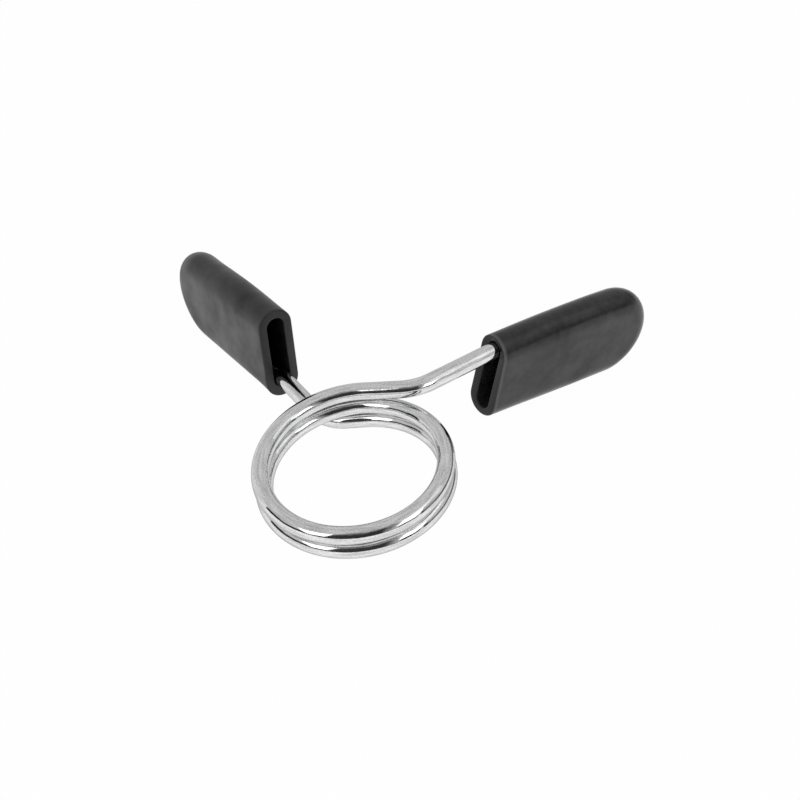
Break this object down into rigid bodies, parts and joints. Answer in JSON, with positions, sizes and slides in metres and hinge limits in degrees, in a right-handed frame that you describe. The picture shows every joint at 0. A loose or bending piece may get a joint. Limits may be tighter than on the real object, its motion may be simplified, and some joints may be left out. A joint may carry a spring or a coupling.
{
  "type": "barbell collar",
  "caption": "Wire spring collar for a bar sleeve: a wound spring with crossing arms that end in flat black grips; squeezing the grips together opens the coil.",
  "frame": {"origin": "centre of the wound coil, on its bore's axis, half way up the coil", "axes": "+Z along the bore, up; +Y from the coil towards the gap between the arms; +X towards the right arm, which leaves the coil's top"},
  "size_m": [0.1558, 0.1204, 0.0508],
  "materials": {
    "spring_wire": "bright chrome plate",
    "grip_vinyl": "satin black dipped vinyl"
  },
  "bodies": {
    "coil": {"spring_coil": "spring_wire"},
    "right_handle": {"right_arm": "spring_wire", "right_grip": "grip_vinyl"},
    "left_handle": {"left_arm": "spring_wire", "left_grip": "grip_vinyl"}
  },
  "joints": [
    {"name": "right_squeeze", "type": "hinge", "parent": "coil", "child": "right_handle", "pos_m": [0, 0, 0], "axis": [0, 0, 1], "range_deg": [0, 20], "stiffness_Nm_per_rad": 45},
    {"name": "left_squeeze", "type": "hinge", "parent": "coil", "child": "left_handle", "pos_m": [0, 0, 0], "axis": [0, 0, 1], "range_deg": [-20, 0], "stiffness_Nm_per_rad": 45}
  ],
  "couplings": [
    {"joint": "left_squeeze", "follows": "right_squeeze", "ratio": -1}
  ]
}
